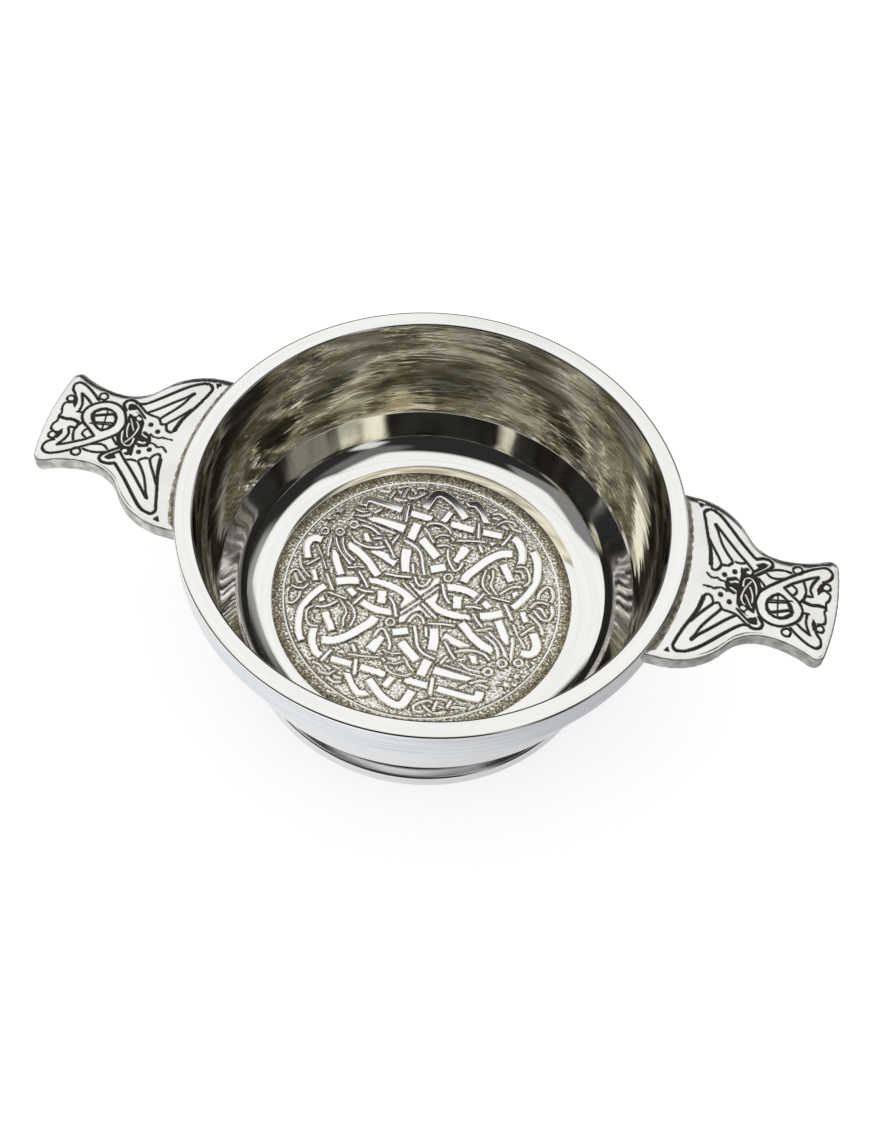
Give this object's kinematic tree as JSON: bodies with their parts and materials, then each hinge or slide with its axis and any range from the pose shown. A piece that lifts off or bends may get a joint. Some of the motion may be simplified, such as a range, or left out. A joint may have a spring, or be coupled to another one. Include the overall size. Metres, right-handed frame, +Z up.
{
  "type": "quaich",
  "caption": "Shallow round drinking bowl with two flat fishtail lug handles, an ornamented disc in the floor and a flared foot ring.",
  "frame": {"origin": "centre of the face that the foot stands on", "axes": "+Z up through the bowl's axis, +X out along the middle of the right lug, -X along the left lug"},
  "size_m": [0.1744, 0.1094, 0.0494],
  "materials": {
    "polished_metal": "mirror-polished pewter with fine wiping marks, turned brush lines outside the band",
    "struck_disc": "polished knotwork ribbons over a dark brown-grey stippled ground",
    "lug_metal": "polished top face with dark filled engraving, satin cast sides",
    "solder": "rough warm grey solder"
  },
  "bodies": {
    "root": {"bowl": "polished_metal", "base_medallion": "struck_disc", "foot_ring": "polished_metal", "lug_left": "lug_metal", "lug_right": "lug_metal", "lug_solder_left": "solder", "lug_solder_right": "solder"}
  },
  "joints": []
}
